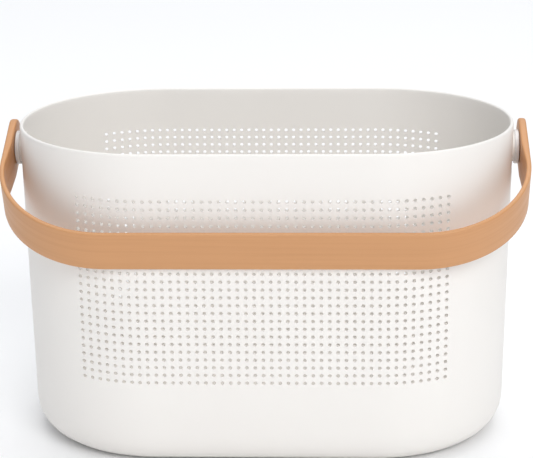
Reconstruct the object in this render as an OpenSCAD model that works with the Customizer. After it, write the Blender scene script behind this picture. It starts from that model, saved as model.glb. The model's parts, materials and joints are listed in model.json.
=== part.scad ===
// Shower caddy: a basket with round ends and one bail handle that swings over it.
// The origin is the centre of the flat underside. +X runs along the basket, -Y is the front,
// +Z is up. The handle is drawn resting against the front wall. The walls are drawn plain:
// the many small holes of the front and back belong to the visual model.

/* [Basket] */
// Outside length at the rim
basket_length = 289; // [240:1:347]
// Outside depth at the rim, front to back
basket_depth = 161; // [134:1:194]
// Height from the table to the top of the rim
basket_height = 188.5; // [157:0.5:227]
// How far each wall leans in between the rim and the table
wall_taper = 3; // [1:0.5:6]
// Thickness of the walls
wall = 2.1; // [1.7:0.1:2.6]
// Thickness of the floor
floor_thick = 2.6; // [2:0.1:4]
// Outside radius of the rounded bottom edge
bottom_edge_r = 20; // [14:0.5:25]

/* [Drain holes] */
// Diameter of the drain holes in the floor
drain_d = 5; // [3:0.5:8]
// Distance between neighbouring drain holes
drain_pitch = 22; // [14:1:30]
// Plain width left between the drain holes and the edge of the flat floor
drain_margin = 12; // [8:1:20]

/* [Handle] */
// Height of the handle's pivots below the rim
pivot_drop = 17; // [14:0.5:22]
// Width of the handle's band
band_width = 25.5; // [22:0.2:28]
// Thickness of the handle's band across the front and round the bends
band_thick = 2.8; // [2.6:0.1:3.4]
// Thickness of the arms beside the pivots
arm_thick = 4.2; // [3.6:0.1:5]
// Length of each arm, in front of its pivot, that has the full thickness
arm_flat = 13; // [12:0.5:20]
// How far the band stands in front of the basket's rim when the handle is level
band_stand_off = 14.4; // [9:0.1:24]
// Outside radius of the handle's two bends
bend_r = 65; // [50:1:70]
// Distance from the pivot to the rounded tip behind it
tip_length = 19.2; // [16:0.2:24]
// Gap left where the handle turns beside, or rests on, another piece
handle_gap = 0.3; // [0.2:0.05:0.6]

/* [Pivots] */
// Diameter of the round spacer that keeps the handle off the basket
spacer_d = 20; // [18:0.2:24]
// Thickness of that spacer
spacer_thick = 2.7; // [1.8:0.1:4]
// Diameter of the bosses on the wall, outside and inside
boss_d = 18.8; // [16:0.2:20]
// Distance from the pivot down to the flat underside of the bosses
boss_drop = 7.8; // [7:0.1:9]
// How far the bosses stand out of the wall
boss_height = 0.8; // [0.7:0.1:1.5]
// Chamfer round the spacer and the pin's cap
edge_chamfer = 0.5; // [0.2:0.1:0.8]
// Diameter of the rivet's barrel, on which the handle turns
barrel_d = 7.6; // [6.6:0.1:8.6]
// Radial clearance between the barrel and the handle's hole
running_clearance = 0.08; // [0.02:0.01:0.1]
// Radial clearance between pieces that are pushed together
push_clearance = 0.05; // [0.02:0.01:0.1]
// Diameter of the barrel's flat head, sunk into the outside of the handle
head_d = 13; // [11:0.2:15]
// Thickness of that head
head_thick = 1; // [0.8:0.1:1.2]
// Diameter of the rivet pin's shank
shank_d = 4.2; // [3:0.1:5]
// Solid depth left between the end of the barrel's bore and the outside of its head
bore_end = 1.6; // [1.2:0.1:2.5]
// Diameter of the pin's cap inside the basket
cap_d = 14; // [12:0.5:15]
// Height of that cap
cap_height = 1.8; // [1.4:0.1:3]

/* [Hidden] */
$fn = 96;
// How far a cutting shape runs past the face it cuts
past = 1;

// Outside of the drafted wall at height z, measured from the axis of the round ends
lean = atan(wall_taper / basket_height);
end_r = basket_depth / 2;
straight_half = (basket_length - basket_depth) / 2;
function outside_at(z) = end_r - (basket_height - z) * tan(lean);

// Drain holes that fit on the flat floor
flat_floor_r = outside_at(bottom_edge_r) - bottom_edge_r / cos(lean);
drain_r = flat_floor_r - drain_margin;
drain_side_count = floor((straight_half + drain_r) / drain_pitch + 0.5);
drain_row_count = floor(drain_r / drain_pitch + 0.5);

// The pivot and the faces stacked outwards from it along X
pivot_z = basket_height - pivot_drop;
wall_out_x = straight_half + outside_at(pivot_z);
wall_in_x = wall_out_x - wall / cos(lean);
boss_out_x = wall_out_x + boss_height;
boss_in_x = wall_in_x - boss_height;
spacer_face_x = boss_out_x + spacer_thick;
arm_in_x = spacer_face_x + handle_gap;
band_out_x = arm_in_x + arm_thick;
band_in_x = band_out_x - band_thick;
head_seat_x = band_out_x - head_thick - 2 * handle_gap;
head_x = head_seat_x + handle_gap;
barrel_bore_r = shank_d / 2 + push_clearance;
push_bore_r = barrel_d / 2 + push_clearance;
running_bore_r = barrel_d / 2 + running_clearance;

// The band leans on the front wall with its lower edge. rest_tilt is the slope of the arms,
// below level, at which that edge is handle_gap away from the wall.
band_half = band_width / 2;
reach = end_r + band_stand_off;
lever_out = reach - band_thick + band_half * tan(lean);
lever_up = band_half - (reach - band_thick) * tan(lean);
rest_tilt = acos((outside_at(pivot_z) + handle_gap) / norm([lever_out, lever_up]))
    - atan2(lever_up, lever_out);

// Half of a drafted section, from its middle to a wall that starts round a corner of radius r.
// Its bottom is at height base, and its wall lies inset behind the outside of the basket.
module half_section(r, base, inset, top_point) {
    corner = [outside_at(base + r) - (inset + r) / cos(lean), base + r];
    polygon([
        [0, base],
        [corner.x, base],
        corner + r * [cos(lean), -sin(lean)],
        top_point,
        [0, top_point.y]
    ]);
    translate(corner) circle(r);
}

// The wall and floor, cut through: outside less inside, with a full round on the rim
module shell_section() {
    rim_r = wall / 2;
    rim_z = basket_height - rim_r;
    rim = [outside_at(rim_z) - rim_r / cos(lean), rim_z];
    across = rim_r * [cos(lean), -sin(lean)];
    difference() {
        union() {
            half_section(bottom_edge_r, 0, 0, rim + across);
            polygon([rim + across, rim - across, [0, (rim - across).y], [0, (rim + across).y]]);
        }
        half_section(bottom_edge_r - wall, floor_thick, wall, rim - across);
    }
    translate(rim) circle(rim_r);
}

// The plain moulding, before any hole: two half-round ends and a straight middle
module shell() {
    for (side = [-1, 1]) {
        translate([side * straight_half, 0, 0])
            rotate(side * 90 - 180)
                rotate_extrude(angle = 180)
                    shell_section();
        rotate([90, 0, side * 90])
            linear_extrude(2 * straight_half, center = true)
                shell_section();
    }
}

// A round bar along X from x = from to x = to, at the pivot's height
module pivot_bar(r, from, to) {
    translate([from, 0, pivot_z])
        rotate([0, 90, 0])
            cylinder(to - from, r, r);
}

// A piece drawn for the right-hand end, on either end
module at_end(side) {
    mirror([side < 0 ? 1 : 0, 0, 0])
        children();
}

module drain_holes() {
    for (column = [1 : drain_side_count], row = [1 : drain_row_count]) {
        x = (column - 0.5) * drain_pitch;
        y = (row - 0.5) * drain_pitch;
        if (norm([max(x - straight_half, 0), y]) <= drain_r)
            for (side = [-1, 1], face = [-1, 1])
                translate([side * x, face * y, -past])
                    cylinder(floor_thick + 2 * past, d = drain_d);
    }
}

// A round boss through the wall, cut off flat below the pivot
module boss() {
    difference() {
        pivot_bar(boss_d / 2, boss_in_x, boss_out_x);
        translate([boss_in_x - past, -boss_d / 2, pivot_z - boss_drop - boss_d])
            cube([boss_out_x - boss_in_x + 2 * past, boss_d, boss_d]);
    }
}

module basket() {
    color("#EFEBE6")
        difference() {
            union() {
                shell();
                for (side = [-1, 1])
                    at_end(side) boss();
            }
            for (side = [-1, 1])
                at_end(side) pivot_bar(push_bore_r, boss_in_x - past, boss_out_x + past);
            drain_holes();
        }
}

// The U of the band seen along its width: half_x is half its span, front its reach
module band_outline(half_x, front, r, back) {
    translate([-half_x, -front + r])
        square([2 * half_x, front - r + back]);
    translate([-half_x + r, -front])
        square([2 * (half_x - r), r + past]);
    for (side = [-1, 1])
        translate([side * (half_x - r), -front + r])
            circle(r);
}

module handle() {
    color("#D19E73")
        translate([0, 0, pivot_z])
            rotate([rest_tilt, 0, 0])
                difference() {
                    intersection() {
                        linear_extrude(band_width, center = true)
                            difference() {
                                band_outline(band_out_x, reach, bend_r, tip_length);
                                intersection() {
                                    band_outline(band_in_x, reach - band_thick,
                                                 bend_r - band_thick, tip_length + past);
                                    room_between_arms();
                                }
                            }
                        rotate([90, 0, 90])
                            linear_extrude(2 * band_out_x + 2 * past, center = true)
                                arm_outline();
                    }
                    for (side = [-1, 1])
                        at_end(side) translate([0, 0, -pivot_z]) {
                            pivot_bar(running_bore_r, arm_in_x - past, band_out_x + past);
                            pivot_bar(head_d / 2 + handle_gap, head_seat_x, band_out_x + past);
                        }
                }
}

// The room inside the U, narrowing from the bends to the thick ends of the arms
module room_between_arms() {
    polygon([
        [-band_in_x, -reach],
        [band_in_x, -reach],
        [band_in_x, bend_r - reach],
        [arm_in_x, -arm_flat],
        [arm_in_x, tip_length + past],
        [-arm_in_x, tip_length + past],
        [-arm_in_x, -arm_flat],
        [-band_in_x, bend_r - reach]
    ]);
}

// The side of an arm: a straight strip with a full round at the tip
module arm_outline() {
    translate([-reach - past, -band_half])
        square([reach + past + tip_length - band_half, band_width]);
    translate([tip_length - band_half, 0])
        circle(band_half);
}

module pivot_spacer(side) {
    color("#E6E6E3")
        at_end(side)
            difference() {
                union() {
                    pivot_bar(spacer_d / 2, boss_out_x + edge_chamfer,
                              spacer_face_x - edge_chamfer);
                    chamfer_ring(boss_out_x, edge_chamfer);
                    chamfer_ring(spacer_face_x - edge_chamfer, -edge_chamfer);
                }
                pivot_bar(push_bore_r, boss_out_x - past, spacer_face_x + past);
            }
}

// A short cone that takes the corner off the spacer, widening outwards where rise > 0
module chamfer_ring(from, rise) {
    translate([from, 0, pivot_z])
        rotate([0, 90, 0])
            cylinder(abs(rise), spacer_d / 2 - max(rise, 0), spacer_d / 2 + min(rise, 0));
}

module rivet_barrel(side) {
    color("#E2E2DF")
        at_end(side)
            difference() {
                union() {
                    pivot_bar(barrel_d / 2, boss_in_x, head_x + head_thick);
                    pivot_bar(head_d / 2, head_x, head_x + head_thick);
                }
                pivot_bar(barrel_bore_r, boss_in_x - past, head_x + head_thick - bore_end);
            }
}

module rivet_pin(side) {
    color("#E2E2DF")
        at_end(side) {
            pivot_bar(shank_d / 2, boss_in_x - cap_height / 2,
                      head_x + head_thick - bore_end - handle_gap);
            pivot_bar(cap_d / 2, boss_in_x - cap_height + edge_chamfer, boss_in_x);
            translate([boss_in_x - cap_height, 0, pivot_z])
                rotate([0, 90, 0])
                    cylinder(edge_chamfer, cap_d / 2 - edge_chamfer, cap_d / 2);
        }
}

basket();
handle();
pivot_spacer(-1);  // left_pivot_spacer
pivot_spacer(1);  // right_pivot_spacer
rivet_barrel(-1);  // left_rivet_barrel
rivet_barrel(1);  // right_rivet_barrel
rivet_pin(-1);  // left_rivet_pin
rivet_pin(1);  // right_rivet_pin
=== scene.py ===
# %% [markdown]
# # A shower caddy with a swinging handle
# The caddy is one moulded basket with round ends, a wide bail handle, and a spacer and a rivet on
# each side that the handle turns on. The engineering model already holds every size and joint.
# This lesson loads it as a fixed frame and builds the finished surfaces around it, in metres.

# %% Load the frame
import json
from math import acos, asin, atan, atan2, cos, floor, hypot, pi, radians, sin, sqrt, tan

import bmesh
import bpy
from mathutils import Matrix, Vector


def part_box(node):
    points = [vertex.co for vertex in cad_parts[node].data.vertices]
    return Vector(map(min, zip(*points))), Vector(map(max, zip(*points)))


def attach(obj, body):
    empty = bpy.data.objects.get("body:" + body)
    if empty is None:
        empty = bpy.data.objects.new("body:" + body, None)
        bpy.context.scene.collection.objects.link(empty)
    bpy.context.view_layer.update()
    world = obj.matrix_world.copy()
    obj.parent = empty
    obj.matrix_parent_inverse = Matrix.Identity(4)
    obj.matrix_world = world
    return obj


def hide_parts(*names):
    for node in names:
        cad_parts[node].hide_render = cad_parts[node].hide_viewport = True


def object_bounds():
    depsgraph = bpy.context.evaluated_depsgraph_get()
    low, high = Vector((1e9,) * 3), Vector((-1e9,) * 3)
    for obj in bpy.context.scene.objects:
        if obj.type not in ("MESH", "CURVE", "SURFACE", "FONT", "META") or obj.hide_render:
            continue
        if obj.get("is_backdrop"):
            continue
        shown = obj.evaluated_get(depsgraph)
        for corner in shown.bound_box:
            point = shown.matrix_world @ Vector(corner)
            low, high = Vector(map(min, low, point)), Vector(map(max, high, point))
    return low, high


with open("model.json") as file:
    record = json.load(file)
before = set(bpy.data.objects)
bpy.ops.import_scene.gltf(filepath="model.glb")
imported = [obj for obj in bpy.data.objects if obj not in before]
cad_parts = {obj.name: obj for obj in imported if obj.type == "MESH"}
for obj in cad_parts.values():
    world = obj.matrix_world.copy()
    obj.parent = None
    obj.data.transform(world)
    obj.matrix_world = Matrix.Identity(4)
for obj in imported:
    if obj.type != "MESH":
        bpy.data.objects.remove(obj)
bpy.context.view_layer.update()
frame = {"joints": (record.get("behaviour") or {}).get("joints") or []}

# %% [markdown]
# ## Helpers
# Every piece ends the same way: a mesh is shaded smooth, its real corners are marked sharp, and
# the object rides on a body of the frame. Meshes are shaped by a few small moves that each wrap
# one bmesh operator, such as pulling a chain of edges along to make a strip of faces.

# %% Helpers for meshes
MM = 0.001
HAIRLINE = 0.02 * MM


def verts_in(geometry):
    return [item for item in geometry if isinstance(item, bmesh.types.BMVert)]


def edges_at(bm, test):
    """The edges whose two ends both pass a test on their place."""
    return [edge for edge in bm.edges if all(test(vert.co) for vert in edge.verts)]


def pull(bm, edges, step, count=1):
    """Extrudes a chain of edges count times, each time by step, and returns the last chain."""
    for _ in range(count):
        new = verts_in(bmesh.ops.extrude_edge_only(bm, edges=edges)["geom"])
        bmesh.ops.translate(bm, verts=new, vec=step)
        moved = set(new)
        edges = [edge for edge in bm.edges if moved.issuperset(edge.verts)]
    return edges


def ring(bm, centre, radius, segments, phase=0.0):
    """Draws a circle of edges flat in XY and returns them."""
    spot = Matrix.Translation(centre) @ Matrix.Rotation(phase, 4, "Z")
    verts = bmesh.ops.create_circle(bm, segments=segments, radius=radius, matrix=spot)["verts"]
    return list({edge for vert in verts for edge in vert.link_edges})


def corners(bm, least=radians(50)):
    """The edges where two faces meet at a real corner."""
    return [e for e in bm.edges if len(e.link_faces) == 2 and e.calc_face_angle() > least]


def soften(bm, edges, width, segments=2):
    """Rounds a set of corners."""
    bmesh.ops.bevel(bm, geom=edges, offset=width, offset_type="OFFSET", affect="EDGES",
                    segments=segments, profile=0.5, material=-1, clamp_overlap=True)


def add_piece(bm, name, material, body, node):
    """Turns a bmesh into a finished piece that rides on a body and stands for a CAD node."""
    mesh = bpy.data.meshes.new(name)
    bm.to_mesh(mesh)
    bm.free()
    mesh.shade_smooth()
    mesh.set_sharp_from_angle(angle=radians(38))
    mesh.materials.append(material)
    piece = bpy.data.objects.new(name, mesh)
    bpy.context.scene.collection.objects.link(piece)
    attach(piece, body)
    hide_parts(node)
    mesh.calc_loop_triangles()
    print(name, "has", len(mesh.loop_triangles), "triangles")
    return piece


# %% [markdown]
# ## The camera
# A long lens from about a metre away keeps the basket's sides nearly parallel. The camera stands
# a little to the right of the middle, looks down on the rim by about 17 degrees, and leans
# slightly to one side.

# %% Camera
CAMERA_PLACE = Vector((42.5, -1052.9, 452.5)) * MM
CAMERA_DOWN = radians(17.48)
CAMERA_LEFT = radians(2.34)
CAMERA_LEAN = radians(-0.69)
camera_data = bpy.data.cameras.new("camera")
camera_data.sensor_width = 36
camera_data.lens = 124.8
camera = bpy.data.objects.new("camera", camera_data)
camera.matrix_world = (
    Matrix.Translation(CAMERA_PLACE)
    @ Matrix.Rotation(CAMERA_LEFT, 4, "Z")
    @ Matrix.Rotation(pi / 2 - CAMERA_DOWN, 4, "X")
    @ Matrix.Rotation(CAMERA_LEAN, 4, "Z")
)
bpy.context.scene.collection.objects.link(camera)
bpy.context.scene.camera = camera

# %% [markdown]
# ## The studio
# A white product is shown on a white sweep, so the shape has to come from light that fades from
# one side to the other. A bright room fills every shadow and falls off to both sides. One large
# light overhead burns out the sweep and brightens the rim. A second one, high in front and to the
# right, reaches over the handle to the front wall and the inside of the back wall.

# %% Helpers for colour and nodes


def srgb(code):
    """A colour written as six hex digits, as linear red, green, blue and alpha."""
    parts = [int(code[i:i + 2], 16) / 255 for i in (0, 2, 4)]
    return (*[p / 12.92 if p <= 0.04045 else ((p + 0.055) / 1.055) ** 2.4 for p in parts], 1.0)


def add_node(tree, kind, sockets=None, **settings):
    """Adds a shader node. Sockets holds values, or other nodes' outputs to link from."""
    node = tree.nodes.new(kind)
    for name, value in settings.items():
        setattr(node, name, value)
    for name, value in (sockets or {}).items():
        if isinstance(value, bpy.types.NodeSocket):
            tree.links.new(value, node.inputs[name])
        else:
            node.inputs[name].default_value = value
    return node


def new_material(name):
    """An empty node material, with its tree and its Principled shader."""
    material = bpy.data.materials.new(name)
    material.use_nodes = True
    return material, material.node_tree, material.node_tree.nodes["Principled BSDF"]


def per_metre(millimetres):
    """The texture scale that gives features of this size on coordinates in metres."""
    return 1 / (millimetres * MM)


# %% Floor, world and lights
FLOOR_SIZE = 30.0


def add_light(name, place, target, size, power, colour):
    data = bpy.data.lights.new(name, "AREA")
    data.shape = "RECTANGLE"
    data.size, data.size_y = size
    data.energy = power
    data.color = srgb(colour)[:3]
    light = bpy.data.objects.new(name, data)
    light.location = place
    light.rotation_euler = (Vector(target) - Vector(place)).to_track_quat("-Z", "Y").to_euler()
    bpy.context.scene.collection.objects.link(light)
    return light


sweep, tree, shader = new_material("white_paper_sweep")
spots = add_node(tree, "ShaderNodeTexNoise", {
    "Vector": add_node(tree, "ShaderNodeTexCoord").outputs["Object"], "Scale": per_metre(400)})
tone = add_node(tree, "ShaderNodeMix", {
    0: spots.outputs["Fac"], 6: srgb("F9F9F9"), 7: srgb("FBFBFB")}, data_type="RGBA")
tree.links.new(tone.outputs[2], shader.inputs["Base Color"])
shader.inputs["Roughness"].default_value = 0.9
shader.inputs["Specular IOR Level"].default_value = 0.1

bm = bmesh.new()
bmesh.ops.create_grid(bm, x_segments=1, y_segments=1, size=FLOOR_SIZE / 2)
floor_mesh = bpy.data.meshes.new("floor")
bm.to_mesh(floor_mesh)
bm.free()
floor_mesh.materials.append(sweep)
floor_object = bpy.data.objects.new("floor", floor_mesh)
bpy.context.scene.collection.objects.link(floor_object)
floor_object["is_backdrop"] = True

world = bpy.data.worlds.new("studio")
world.use_nodes = True
# The room is brightest in front, above and behind, and falls off to both sides
direction = add_node(world.node_tree, "ShaderNodeSeparateXYZ", {
    0: add_node(world.node_tree, "ShaderNodeTexCoord").outputs["Generated"]})
to_right = add_node(world.node_tree, "ShaderNodeMapRange", {
    "Value": direction.outputs["X"], "From Min": 0.15, "From Max": 1.0,
    "To Min": 0.0, "To Max": 1.0}, interpolation_type="SMOOTHSTEP")
to_left = add_node(world.node_tree, "ShaderNodeMapRange", {
    "Value": direction.outputs["X"], "From Min": -1.0, "From Max": -0.15,
    "To Min": 1.0, "To Max": 0.0}, interpolation_type="SMOOTHSTEP")
right_half = add_node(world.node_tree, "ShaderNodeMix", {
    0: to_right.outputs["Result"], 6: srgb("F7FAFF"), 7: srgb("BCBEC2")}, data_type="RGBA")
room = add_node(world.node_tree, "ShaderNodeMix", {
    0: to_left.outputs["Result"], 6: right_half.outputs[2], 7: srgb("B4B6BA")}, data_type="RGBA")
background = world.node_tree.nodes["Background"]
world.node_tree.links.new(room.outputs[2], background.inputs["Color"])
background.inputs["Strength"].default_value = 0.7
bpy.context.scene.world = world
middle = (0, 0, 0.09)
add_light("top", (0.1, 0.9, 3.4), (0, 0.9, 0), (4.0, 3.0), 62, "FFFFFF")
add_light("front", (1.0, -2.2, 1.8), middle, (1.6, 1.2), 32, "FFFFFF")
bpy.context.scene.view_settings.view_transform = "Standard"

# %% [markdown]
# ## Finishes
# The basket is moulded in white polypropylene from a tool with a fine spark-eroded grain. The
# grain scatters the gloss, so the wall looks soft and slightly warm. The handle is polypropylene
# too, in caramel, with a printed wood look: long faint streaks that follow the band. The spacers
# and rivets come from polished tools and keep a sharper gloss.

# %% White polypropylene for the basket
material_basket, tree, shader = new_material("white_polypropylene_spark_eroded")
place = add_node(tree, "ShaderNodeTexCoord").outputs["Object"]
flow = add_node(tree, "ShaderNodeTexNoise", {"Vector": place, "Scale": per_metre(70), "Detail": 2.0})
tone = add_node(tree, "ShaderNodeMix", {
    0: flow.outputs["Fac"], 6: srgb("EEEAE5"), 7: srgb("F1EEE9")}, data_type="RGBA")
gloss_spots = add_node(tree, "ShaderNodeTexNoise", {
    "Vector": place, "Scale": per_metre(12), "Detail": 3.0})
gloss = add_node(tree, "ShaderNodeMapRange", {
    "Value": gloss_spots.outputs["Fac"], "From Min": 0.3, "From Max": 0.7,
    "To Min": 0.42, "To Max": 0.5})
# Spark-eroded grain is about 0.1 mm; it is drawn at 0.45 mm so that it still shows
grain = add_node(tree, "ShaderNodeTexNoise", {
    "Vector": place, "Scale": per_metre(0.45), "Detail": 2.0, "Roughness": 0.6})
relief = add_node(tree, "ShaderNodeBump", {
    "Height": grain.outputs["Fac"], "Strength": 0.25, "Distance": 0.03 * MM})
tree.links.new(tone.outputs[2], shader.inputs["Base Color"])
tree.links.new(gloss.outputs["Result"], shader.inputs["Roughness"])
tree.links.new(relief.outputs["Normal"], shader.inputs["Normal"])
shader.inputs["IOR"].default_value = 1.49
print(material_basket.name)

# %% Caramel polypropylene with a printed wood look for the handle
material_handle, tree, shader = new_material("caramel_polypropylene_wood_print")
place = add_node(tree, "ShaderNodeUVMap", uv_map="along_band").outputs["UV"]
# Streaks are 120 mm long and 2.4 mm wide, and lie in broader bands 9 mm wide
thin = add_node(tree, "ShaderNodeMapping", {
    "Vector": place, "Scale": (per_metre(120), per_metre(2.4), 1.0)})
thin_streaks = add_node(tree, "ShaderNodeTexNoise", {
    "Vector": thin.outputs["Vector"], "Scale": 1.0, "Detail": 3.0, "Distortion": 0.3})
broad = add_node(tree, "ShaderNodeMapping", {
    "Vector": place, "Scale": (per_metre(210), per_metre(9), 1.0)})
broad_bands = add_node(tree, "ShaderNodeTexNoise", {
    "Vector": broad.outputs["Vector"], "Scale": 1.0, "Detail": 2.0, "Distortion": 0.6})
base_tone = add_node(tree, "ShaderNodeMix", {
    0: broad_bands.outputs["Fac"], 6: srgb("C79161"), 7: srgb("CE9767")}, data_type="RGBA")
streak_weight = add_node(tree, "ShaderNodeMapRange", {
    "Value": thin_streaks.outputs["Fac"], "From Min": 0.45, "From Max": 0.75,
    "To Min": 0.0, "To Max": 0.22})
tone = add_node(tree, "ShaderNodeMix", {
    0: streak_weight.outputs["Result"], 6: base_tone.outputs[2], 7: srgb("AF7946")},
    data_type="RGBA")
gloss = add_node(tree, "ShaderNodeMapRange", {
    "Value": thin_streaks.outputs["Fac"], "From Min": 0.3, "From Max": 0.7,
    "To Min": 0.4, "To Max": 0.5})
relief = add_node(tree, "ShaderNodeBump", {
    "Height": thin_streaks.outputs["Fac"], "Strength": 0.2, "Distance": 0.05 * MM})
tree.links.new(tone.outputs[2], shader.inputs["Base Color"])
tree.links.new(gloss.outputs["Result"], shader.inputs["Roughness"])
tree.links.new(relief.outputs["Normal"], shader.inputs["Normal"])
shader.inputs["IOR"].default_value = 1.49
print(material_handle.name)

# %% Glossy acetal for the spacers and rivets
material_pivots, tree, shader = new_material("white_acetal_polished_mould")
place = add_node(tree, "ShaderNodeTexCoord").outputs["Object"]
haze = add_node(tree, "ShaderNodeTexNoise", {"Vector": place, "Scale": per_metre(4), "Detail": 2.0})
tone = add_node(tree, "ShaderNodeMix", {
    0: haze.outputs["Fac"], 6: srgb("E4E5E5"), 7: srgb("EAEAE9")}, data_type="RGBA")
gloss = add_node(tree, "ShaderNodeMapRange", {
    "Value": haze.outputs["Fac"], "From Min": 0.3, "From Max": 0.7,
    "To Min": 0.22, "To Max": 0.3})
tree.links.new(tone.outputs[2], shader.inputs["Base Color"])
tree.links.new(gloss.outputs["Result"], shader.inputs["Roughness"])
shader.inputs["IOR"].default_value = 1.48
print(material_pivots.name)

# %% [markdown]
# ## The basket's wall, cut flat
# The wall is one thin moulding with 45 columns and 24 rows of round holes on the front and on
# the back. Cutting 2,160 holes with booleans would be slow and would leave poor faces. So one
# square cell with a hole is made from two loops of twelve edges, and it is tiled. The cut sheet
# is drawn flat first: X is the distance along the outline, and -Y the distance below the rim.
# One sheet covers the front and the right-hand end. Turned half round, it is the other half too.

# %% Sizes of the basket, from the frame
basket_low, basket_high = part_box("basket")
pivot = Vector(frame["joints"][0]["pos_m"])
height = basket_high.z
wall = 2.1 * MM
rim_r = wall / 2
lean = atan(3 * MM / height)
floor_thick = 2.6 * MM
bottom_edge_r = 20 * MM
boss_height = 0.8 * MM
boss_r = 9.4 * MM
boss_drop = 7.8 * MM
barrel_bore_r = 3.85 * MM


def outside_at(z):
    """Outside radius of the round ends at height z."""
    return basket_high.y - (height - rim_r - z) * tan(lean)


straight_half = basket_high.x - boss_height - outside_at(pivot.z)
print("straight half", round(straight_half / MM, 2), "mm; end radius", round(outside_at(height) / MM, 2))

# %% One perforated cell, tiled into a panel
HOLE_R = 1.1 * MM
PITCH = 4.7 * MM
COLUMNS = 45
ROWS = 24
TOP_ROW = 27 * MM
panel_half = COLUMNS * PITCH / 2
panel_top = TOP_ROW - PITCH / 2
panel_bottom = panel_top + ROWS * PITCH


def tile(bm, count, step):
    """Repeats everything along step and welds the copies."""
    source = bm.verts[:] + bm.edges[:] + bm.faces[:]
    for index in range(1, count):
        copy = bmesh.ops.duplicate(bm, geom=source)["geom"]
        bmesh.ops.translate(bm, verts=verts_in(copy), vec=Vector(step) * index)
    bmesh.ops.remove_doubles(bm, verts=bm.verts, dist=HAIRLINE)


sheet = bmesh.new()
corner_cell = Vector((-panel_half + PITCH / 2, -TOP_ROW, 0))
bmesh.ops.create_grid(sheet, x_segments=3, y_segments=3, size=PITCH / 2)
bmesh.ops.delete(sheet, geom=[v for v in sheet.verts if not v.is_boundary], context="VERTS")
ring(sheet, (0, 0, 0), HOLE_R, 12, phase=radians(15))
bmesh.ops.bridge_loops(sheet, edges=sheet.edges[:])
bmesh.ops.translate(sheet, verts=sheet.verts, vec=corner_cell)
print("faces in one cell:", len(sheet.faces))
tile(sheet, COLUMNS, (PITCH, 0, 0))
tile(sheet, ROWS, (0, -PITCH, 0))
print("faces in the panel:", len(sheet.faces))

# %% Plain margins round the panel
END_COLUMNS = 24
EDGE_ROWS = 6
TOP_STRIP = 4 * MM
wall_length = height - bottom_edge_r * (1 - sin(lean))
edge_length = bottom_edge_r * (pi / 2 - lean)
end_length = 2 * outside_at(height) * (pi / 2 - asin((panel_half - straight_half) / outside_at(height)))
sheet_end = panel_half + end_length
sheet_bottom = wall_length + edge_length

right = edges_at(sheet, lambda co: co.x > panel_half - HAIRLINE)
pull(sheet, right, (end_length / END_COLUMNS, 0, 0), END_COLUMNS)
top = edges_at(sheet, lambda co: co.y > -panel_top - HAIRLINE)
top = pull(sheet, top, (0, (panel_top - TOP_STRIP) / 3, 0), 3)
pull(sheet, top, (0, TOP_STRIP, 0))
low = edges_at(sheet, lambda co: co.y < -panel_bottom + HAIRLINE)
low = pull(sheet, low, (0, -(wall_length - panel_bottom), 0))
pull(sheet, low, (0, -edge_length / EDGE_ROWS, 0), EDGE_ROWS)
print("sheet is", round(sheet_end / MM + panel_half / MM, 1), "mm long")

# %% The boss for the pivot, with its bore
boss_at = Vector((panel_half + end_length / 2, pivot.z - height, 0))
near_boss = [
    face for face in sheet.faces
    if abs(face.calc_center_median().x - boss_at.x) < 2 * end_length / END_COLUMNS
    and -panel_top - 4 * PITCH / 3 < face.calc_center_median().y < -TOP_STRIP
]
opening = [e for face in near_boss for e in face.edges]
opening = list({e for e in opening if opening.count(e) == 1})
bmesh.ops.delete(sheet, geom=near_boss, context="FACES")
opening = [e for e in opening if e.is_valid]
loops = [opening] + [
    ring(sheet, boss_at, radius, len(opening), phase=pi / 2)
    for radius in (boss_r, boss_r - 2 * HAIRLINE, barrel_bore_r)
]
for outer, inner in zip(loops, loops[1:]):
    bmesh.ops.bridge_loops(sheet, edges=outer + inner)
for loop, inset in ((loops[1], 0), (loops[2], 2 * HAIRLINE)):
    for vert in {vert for edge in loop for vert in edge.verts}:
        vert.co.y = max(vert.co.y, boss_at.y - boss_drop + inset)
print("edges round the boss:", len(opening))

# %% [markdown]
# ## Thicken the sheet and bend it round
# Extruding the whole sheet gives a second skin, joined to the first round every hole. Then each
# point is placed on the drafted wall. A hole keeps the same distance along X and the same height
# on both skins, so its wall runs straight from front to back, just as the mould's pins do.

# %% Two skins
SKIN = 10 * MM
inner_skin = verts_in(bmesh.ops.extrude_face_region(sheet, geom=sheet.faces[:])["geom"])
bmesh.ops.translate(sheet, verts=inner_skin, vec=(0, 0, SKIN))


def on_border(vert):
    """True on the sheet's ends and bottom, where the next stretch of wall joins on."""
    return (
        vert.co.x < -panel_half + HAIRLINE, vert.co.x > sheet_end - HAIRLINE,
        vert.co.y < -sheet_bottom + HAIRLINE,
    )


joints = [
    face for face in sheet.faces
    if len({vert.co.z > SKIN / 2 for vert in face.verts}) == 2
    and any(all(flags) for flags in zip(*[on_border(vert) for vert in face.verts]))
]
bmesh.ops.delete(sheet, geom=joints, context="FACES_ONLY")
print("faces in two skins:", len(sheet.faces))


# %% Bend the sheet onto the wall


def section(down, inset, base):
    """Radius of the round ends, and height, at a distance below the rim on one skin."""
    if down < wall_length - HAIRLINE:
        z = height - down
        return outside_at(z) - inset / cos(lean), z
    r = bottom_edge_r - inset
    corner_radius = outside_at(base + r) - (inset + r) / cos(lean)
    turn = lean + (down - wall_length) / edge_length * (pi / 2 - lean)
    return corner_radius + r * cos(turn), base + r - r * sin(turn)


def in_plan(along, radius):
    """Place in plan at a distance along the outline from the middle of the front."""
    if along <= panel_half + HAIRLINE:
        across = max(abs(along) - straight_half, 0)
        return along, -sqrt(radius**2 - across**2)
    start = asin((panel_half - straight_half) / radius)
    turn = start + (along - panel_half) / end_length * (pi - 2 * start)
    return straight_half + radius * sin(turn), -radius * cos(turn)


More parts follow.
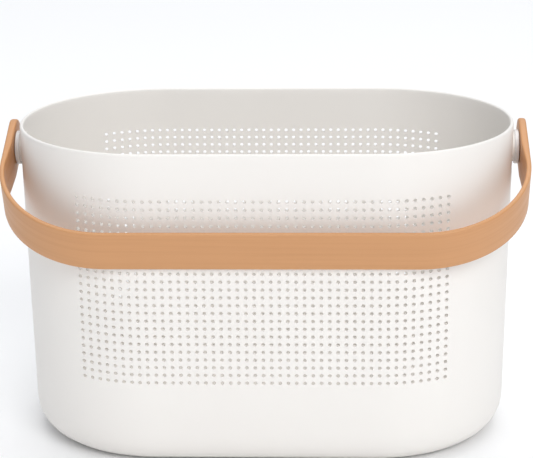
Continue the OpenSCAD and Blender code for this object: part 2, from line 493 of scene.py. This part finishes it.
def on_wall(co):
    inner = co.z > SKIN / 2
    inset = wall if inner else 0
    radius, z = section(-co.y, inset, floor_thick if inner else 0)
    y = co.x - boss_at.x
    within_boss = min(boss_r - hypot(y, co.y - boss_at.y), co.y - boss_at.y + boss_drop)
    if within_boss < -HAIRLINE:
        return Vector((*in_plan(co.x, radius), z))
    x = straight_half + sqrt(radius**2 - y**2)
    if within_boss > HAIRLINE:
        pivot_x = straight_half + outside_at(pivot.z) - inset / cos(lean)
        x = pivot_x + (-boss_height if inner else boss_height)
    return Vector((x, y, z))


for vert in sheet.verts:
    vert.co = on_wall(vert.co)
half = sheet.verts[:] + sheet.edges[:] + sheet.faces[:]
other_half = verts_in(bmesh.ops.duplicate(sheet, geom=half)["geom"])
bmesh.ops.rotate(sheet, verts=other_half, cent=(0, 0, 0), matrix=Matrix.Rotation(pi, 3, "Z"))
bmesh.ops.remove_doubles(sheet, verts=sheet.verts, dist=HAIRLINE / 2)
rim = [e for e in corners(sheet) if all(v.co.z > height - HAIRLINE for v in e.verts)]
soften(sheet, rim, 0.97 * rim_r, 3)
print("faces in the wall:", len(sheet.faces), "open edges:", sum(e.is_boundary for e in sheet.edges))

# %% [markdown]
# ## The floor with its drain holes
# The wall now ends in two open loops, one on the table and one inside. Rings for the drain holes
# are drawn at both heights. Each skin is filled between its loop and its rings, and the rings are
# bridged in pairs to make the holes' walls.

# %% Fill the floor
DRAIN_R = 2.5 * MM
DRAIN_PITCH = 22 * MM
DRAIN_MARGIN = 12 * MM
flat_floor_r = section(sheet_bottom, 0, 0)[0]
drain_limit = flat_floor_r - DRAIN_MARGIN
drain_columns = floor((straight_half + drain_limit) / DRAIN_PITCH + 0.5)
drain_rows = floor(drain_limit / DRAIN_PITCH + 0.5)
drains = [
    (side * (column - 0.5) * DRAIN_PITCH, face * (row - 0.5) * DRAIN_PITCH)
    for column in range(1, drain_columns + 1) for row in range(1, drain_rows + 1)
    for side in (-1, 1) for face in (-1, 1)
    if hypot(max((column - 0.5) * DRAIN_PITCH - straight_half, 0), (row - 0.5) * DRAIN_PITCH) <= drain_limit
]
open_edges = [e for e in sheet.edges if e.is_boundary]
under = [e for e in open_edges if e.verts[0].co.z < floor_thick / 2]
inside = [e for e in open_edges if e.verts[0].co.z > floor_thick / 2]
rings_under = [ring(sheet, (x, y, 0), DRAIN_R, 16) for x, y in drains]
rings_inside = [ring(sheet, (x, y, floor_thick), DRAIN_R, 16) for x, y in drains]
for loop, rings in ((under, rings_under), (inside, rings_inside)):
    bmesh.ops.triangle_fill(sheet, use_beauty=True, edges=loop + sum(rings, []))
for pair in zip(rings_under, rings_inside):
    bmesh.ops.bridge_loops(sheet, edges=pair[0] + pair[1])
bmesh.ops.recalc_face_normals(sheet, faces=sheet.faces)
print(len(drains), "drain holes; open edges:", sum(e.is_boundary for e in sheet.edges))
basket = add_piece(sheet, "perforated_basket", material_basket, "basket", "basket")

# %% [markdown]
# ## The handle, cut flat and bent
# The handle is one band, 2.8 mm thick and 25.5 mm wide, bent into a U. Each arm thickens towards
# its pivot. Its ends are full rounds, each with a hole for the rivet and a shallow recess for the
# rivet's head. It is made flat too, because the strip's own X is then the distance along the band,
# which is what the streaks need.

# %% Sizes of the handle
handle_low, handle_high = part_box("handle")
half_span = handle_high.x
BAND = 25.5 * MM
BAND_THICK = 2.8 * MM
ARM_THICK = 4.2 * MM
EDGE_ROUND = 0.9 * MM
REACH = outside_at(height) + 14.4 * MM
BEND_R = 65 * MM
TIP = 19.2 * MM
GAP = 0.3 * MM
RECESS_R = 6.5 * MM + GAP
RECESS_DEEP = 1.6 * MM
HOLE_IN_ARM_R = 3.88 * MM
bend_length = BEND_R * pi / 2
front_half = half_span - BEND_R
pivot_s = front_half + bend_length + REACH - BEND_R
lever_out = REACH - BAND_THICK + BAND / 2 * tan(lean)
lever_up = BAND / 2 - (REACH - BAND_THICK) * tan(lean)
rest_tilt = (acos((outside_at(pivot.z) + GAP) / hypot(lever_out, lever_up))
             - atan2(lever_up, lever_out))
print("arms slope down by", round(rest_tilt * 180 / pi, 2), "degrees")

# %% Cut the flat band
band = bmesh.new()
bmesh.ops.create_grid(band, x_segments=1, y_segments=4, size=BAND / 2)
bmesh.ops.delete(band, geom=[v for v in band.verts if v.co.x > 0], context="VERTS")
bmesh.ops.translate(band, verts=band.verts, vec=(BAND / 2, 0, 0))
arm_length = pivot_s - BAND / 2 - front_half - bend_length
end = pull(band, band.edges[:], (front_half / 4, 0, 0), 4)
end = pull(band, end, (bend_length / 28, 0, 0), 28)
end = pull(band, end, (arm_length / 2, 0, 0), 2)
tip_centre = Vector((pivot_s + TIP - BAND / 2, 0, 0))
step = (tip_centre.x - (pivot_s - BAND / 2)) / 3
lowest = min((v for e in end for v in e.verts), key=lambda v: v.co.y)
for _ in range(3):
    lowest = bmesh.ops.extrude_vert_indiv(band, verts=[lowest])["verts"][0]
    lowest.co.x += step
last = bmesh.ops.spin(band, geom=[lowest], cent=tip_centre, axis=(0, 0, 1), angle=pi,
                      steps=14)["geom_last"]
highest = verts_in(last)[0]
for _ in range(3):
    highest = bmesh.ops.extrude_vert_indiv(band, verts=[highest])["verts"][0]
    highest.co.x -= step
bmesh.ops.remove_doubles(band, verts=band.verts, dist=HAIRLINE)
outline = edges_at(band, lambda co: co.x > pivot_s - BAND / 2 - HAIRLINE)
print("edges round the tip:", len(outline))


def angle_round_pivot(vert):
    """Angle of a point seen from the rivet's hole, counted from just below the band's end."""
    return (atan2(vert.co.y, vert.co.x - pivot_s) + HAIRLINE) % (2 * pi)


loop = outline
for radius in (RECESS_R, RECESS_R - 2 * HAIRLINE, HOLE_IN_ARM_R):
    inner = verts_in(bmesh.ops.extrude_edge_only(band, edges=loop)["geom"])
    for index, vert in enumerate(sorted(inner, key=angle_round_pivot)):
        turn = index * 2 * pi / len(inner)
        vert.co = (pivot_s + radius * cos(turn), radius * sin(turn), 0)
    loop = [edge for edge in band.edges if set(inner).issuperset(edge.verts)]
print("faces in the right half:", len(band.faces))

# %% Thicken, recess and round the edges


def thickness_at(s):
    """Thickness of the band at a distance s along it from the middle of the front."""
    along_arm = (s - front_half - bend_length) / arm_length
    return BAND_THICK + (ARM_THICK - BAND_THICK) * min(max(along_arm, 0), 1)


bmesh.ops.mirror(band, geom=band.verts[:] + band.edges[:] + band.faces[:], axis="X",
                 merge_dist=HAIRLINE)
bmesh.ops.remove_doubles(band, verts=band.verts, dist=HAIRLINE)
back_skin = verts_in(bmesh.ops.extrude_face_region(band, geom=band.faces[:])["geom"])
bmesh.ops.translate(band, verts=back_skin, vec=(0, 0, BAND_THICK))


def in_recess(vert):
    return hypot(abs(vert.co.x) - pivot_s, vert.co.y) < RECESS_R + HAIRLINE


bmesh.ops.recalc_face_normals(band, faces=band.faces)
soften(band, [e for e in corners(band) if not any(in_recess(v) for v in e.verts)], EDGE_ROUND, 4)
for vert in band.verts:
    if vert.co.z < HAIRLINE and hypot(abs(vert.co.x) - pivot_s, vert.co.y) < RECESS_R - HAIRLINE:
        vert.co.z = RECESS_DEEP
    else:
        vert.co.z *= thickness_at(abs(vert.co.x)) / BAND_THICK
along_band = band.loops.layers.uv.new("along_band")
for face in band.faces:
    for loop in face.loops:
        loop[along_band].uv = (loop.vert.co.x, loop.vert.co.y + loop.vert.co.z)
print("faces in the band:", len(band.faces))

# %% Bend the band


def bend_band(co):
    """Bends the flat band into its U, level with the pivot."""
    side = -1 if co.x < 0 else 1
    s, depth = abs(co.x), co.z
    back = REACH - BEND_R
    if s <= front_half:
        x, y = s, depth - REACH
    elif s <= front_half + bend_length:
        turn = (s - front_half) / BEND_R
        x = front_half + (BEND_R - depth) * sin(turn)
        y = -back - (BEND_R - depth) * cos(turn)
    else:
        x, y = half_span - depth, s - front_half - bend_length - back
    return Vector((side * x, y, co.y))


for vert in band.verts:
    vert.co = bend_band(vert.co)
bmesh.ops.rotate(band, verts=band.verts, cent=(0, 0, 0), matrix=Matrix.Rotation(rest_tilt, 3, "X"))
bmesh.ops.translate(band, verts=band.verts, vec=pivot)
bmesh.ops.recalc_face_normals(band, faces=band.faces)
handle = add_piece(band, "bail_handle", material_handle, "handle", "handle")

# %% [markdown]
# ## Spacers and rivets
# Each side has a round spacer that keeps the arm off the wall, a barrel that the arm turns on,
# and a pin that is pushed into the barrel from inside the basket. All three are turned shapes, so
# each is a short profile spun round the pivot's axis, with its corners softened.

# %% Spin the turned pieces


def turned(profile, side, softness):
    """Spins a closed profile of (x, radius) pairs round the pivot's axis."""
    bm = bmesh.new()
    verts = [bm.verts.new((side * x, 0, r)) for x, r in profile]
    for first, second in zip(verts, verts[1:] + verts[:1]):
        bm.edges.new((first, second))
    bmesh.ops.spin(bm, geom=bm.verts[:] + bm.edges[:], cent=(0, 0, 0), axis=(1, 0, 0),
                   angle=2 * pi, steps=56, use_merge=True)
    bmesh.ops.remove_doubles(bm, verts=bm.verts, dist=HAIRLINE)
    bmesh.ops.recalc_face_normals(bm, faces=bm.faces)
    soften(bm, corners(bm), softness, 3)
    bmesh.ops.translate(bm, verts=bm.verts, vec=pivot)
    bmesh.ops.recalc_face_normals(bm, faces=bm.faces)
    return bm


spacer_low, spacer_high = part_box("right_pivot_spacer")
spacer_r = (spacer_high.z - spacer_low.z) / 2
spacer_profile = [
    (spacer_low.x, barrel_bore_r), (spacer_low.x, spacer_r),
    (spacer_high.x, spacer_r), (spacer_high.x, barrel_bore_r),
]
barrel_low, barrel_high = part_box("right_rivet_barrel")
barrel_r = 3.8 * MM
pin_bore_r = 2.15 * MM
head_r = (barrel_high.z - barrel_low.z) / 2
head_x = barrel_high.x - 1 * MM
bore_end_x = barrel_high.x - 1.6 * MM
barrel_profile = [
    (barrel_low.x, pin_bore_r), (barrel_low.x, barrel_r), (head_x, barrel_r), (head_x, head_r),
    (barrel_high.x, head_r), (barrel_high.x, 0), (bore_end_x, 0), (bore_end_x, pin_bore_r),
]
pin_low, pin_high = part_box("right_rivet_pin")
shank_r = 2.1 * MM
cap_r = (pin_high.z - pin_low.z) / 2
pin_profile = [
    (pin_low.x, 0), (pin_low.x, cap_r), (barrel_low.x, cap_r), (barrel_low.x, shank_r),
    (pin_high.x, shank_r), (pin_high.x, 0),
]
for side, word in ((-1, "left"), (1, "right")):
    for part, profile, softness in (
        ("pivot_spacer", spacer_profile, 0.6 * MM),
        ("rivet_barrel", barrel_profile, 0.2 * MM),
        ("rivet_pin", pin_profile, 0.4 * MM),
    ):
        add_piece(turned(profile, side, softness), f"{word}_{part}_finished", material_pivots,
                  "basket", f"{word}_{part}")

# %% [markdown]
# ## The finished size
# The finished surfaces have to stay inside the engineering model's box, so the box round the finished
# pieces is measured and printed.

# %% Measure the finished pieces
low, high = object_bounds()
print("visual box in mm:", [round(s / MM, 2) for s in high - low])
